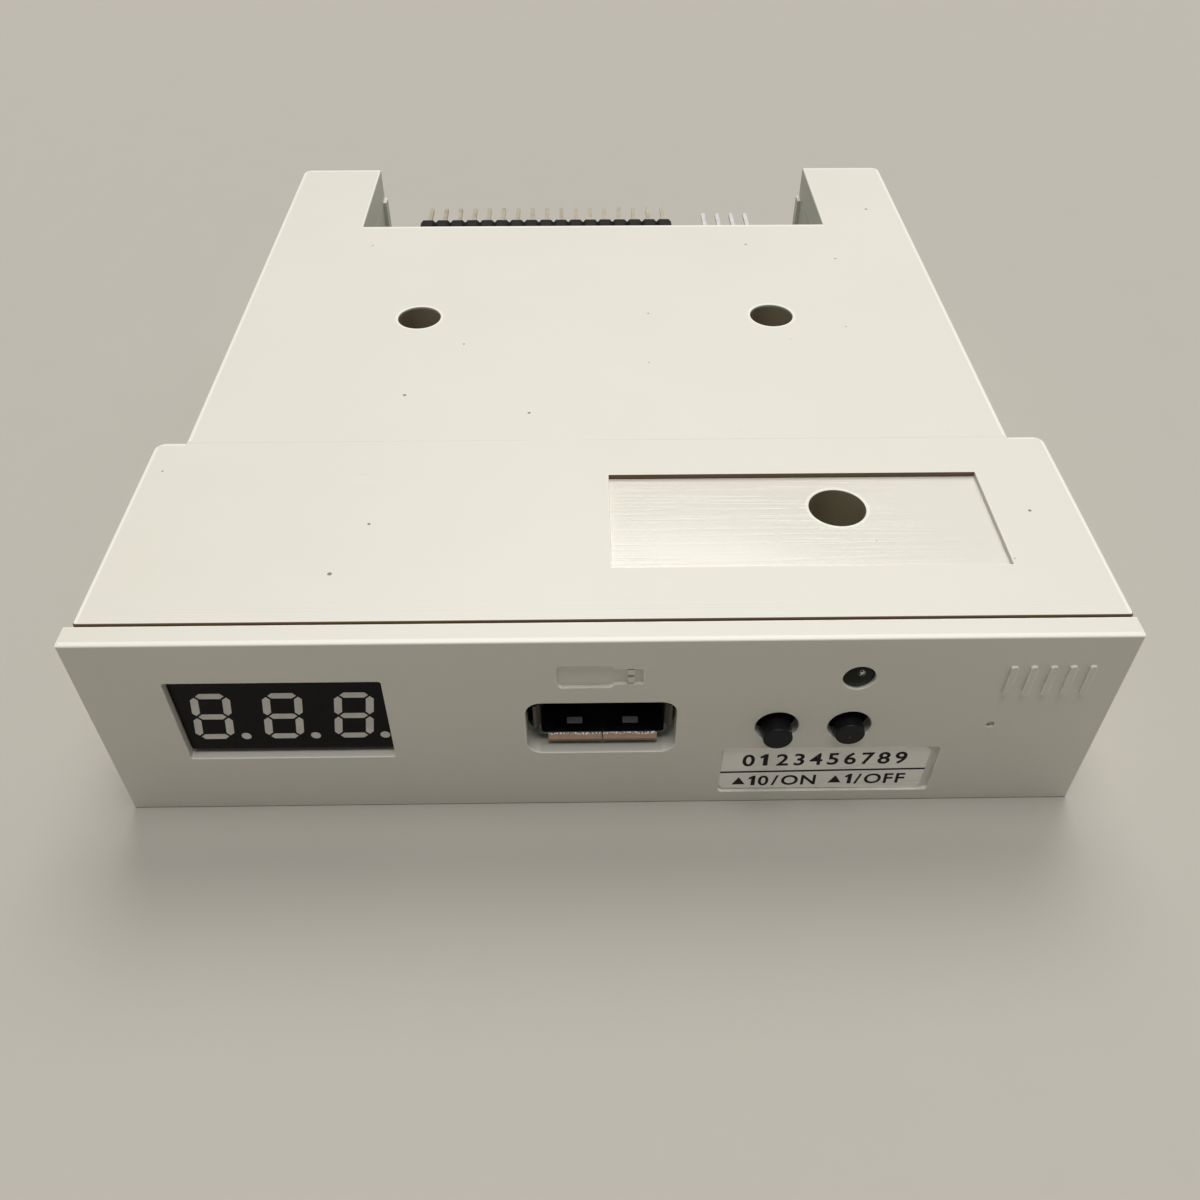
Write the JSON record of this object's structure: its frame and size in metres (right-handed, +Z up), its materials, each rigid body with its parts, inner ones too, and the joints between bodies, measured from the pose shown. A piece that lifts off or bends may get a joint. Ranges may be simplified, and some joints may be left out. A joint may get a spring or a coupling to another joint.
{
  "type": "floppy drive emulator",
  "caption": "Slim drive emulator for a 3.5-inch bay: plastic case with USB socket, digit display, push buttons and lamp in front and pin headers in a rear notch.",
  "frame": {"origin": "bottom centre of the object's box, on the surface it rests on", "axes": "+X to the right seen from the front panel, +Y from the front panel to the pin headers, +Z up"},
  "size_m": [0.1016, 0.1208, 0.0254],
  "materials": {
    "case_plastic": "fine spark texture",
    "screw_steel": "zinc plated",
    "board_laminate": "solder mask",
    "display_black": "polished",
    "segment_grey": "diffusing",
    "tinned_pin": "bright tin",
    "gold_pin": "flash gold",
    "header_black": "moulded",
    "header_white": "moulded nylon",
    "jumper_black": "moulded",
    "shell_steel": "stamped",
    "lamp_lens": "moulded dome",
    "sticker_paper": "matt coated",
    "button_black": "moulded",
    "chip_black": "moulded epoxy",
    "chip_ceramic": "sintered",
    "can_aluminium": "drawn"
  },
  "bodies": {
    "enclosure": {"chip_capacitors": "chip_ceramic", "chip_resistors": "chip_black", "controller_chip": "chip_black", "controller_chip_legs": "tinned_pin", "cover_screws": "screw_steel", "crystal": "can_aluminium", "data_header_block": "header_black", "data_header_pins": "gold_pin", "display_board": "board_laminate", "display_body": "display_black", "display_driver": "chip_black", "display_driver_legs": "tinned_pin", "display_link_block": "header_black", "display_link_pins": "gold_pin", "display_pins": "tinned_pin", "display_segments": "segment_grey", "front_capacitor_base": "chip_black", "front_capacitor_can": "can_aluminium", "front_sticker": "sticker_paper", "indicator_leads": "tinned_pin", "indicator_lens": "lamp_lens", "input_fuse": "chip_black", "jumper_header_block": "header_black", "jumper_header_pins": "gold_pin", "left_switch_base": "header_black", "left_switch_dome": "shell_steel", "left_switch_frame": "shell_steel", "left_switch_legs": "tinned_pin", "lower_case": "case_plastic", "main_board": "board_laminate", "power_header_block": "header_white", "power_header_pins": "tinned_pin", "read_buffer": "chip_black", "read_buffer_legs": "tinned_pin", "rear_capacitor_base": "chip_black", "rear_capacitor_can": "can_aluminium", "right_switch_base": "header_black", "right_switch_dome": "shell_steel", "right_switch_frame": "shell_steel", "right_switch_legs": "tinned_pin", "service_header_block": "header_black", "service_header_pins": "gold_pin", "top_cover": "case_plastic", "usb_contacts": "gold_pin", "usb_shell": "shell_steel", "usb_tongue": "header_black", "voltage_regulator": "chip_black", "voltage_regulator_legs": "tinned_pin", "write_buffer": "chip_black", "write_buffer_legs": "tinned_pin"},
    "left_button": {"left_button": "button_black"},
    "right_button": {"right_button": "button_black"},
    "jumper": {"jumper_cap": "jumper_black", "jumper_clip": "gold_pin"}
  },
  "joints": [
    {"name": "left_button_press", "type": "slide", "parent": "enclosure", "child": "left_button", "axis": [0, 1, 0], "range_m": [0, 0.00025], "stiffness_N_per_m": 600},
    {"name": "right_button_press", "type": "slide", "parent": "enclosure", "child": "right_button", "axis": [0, 1, 0], "range_m": [0, 0.00025], "stiffness_N_per_m": 600},
    {"name": "jumper_cap_lift", "type": "slide", "parent": "enclosure", "child": "jumper", "axis": [0, 0, 1], "range_m": [0, 0.01]}
  ]
}
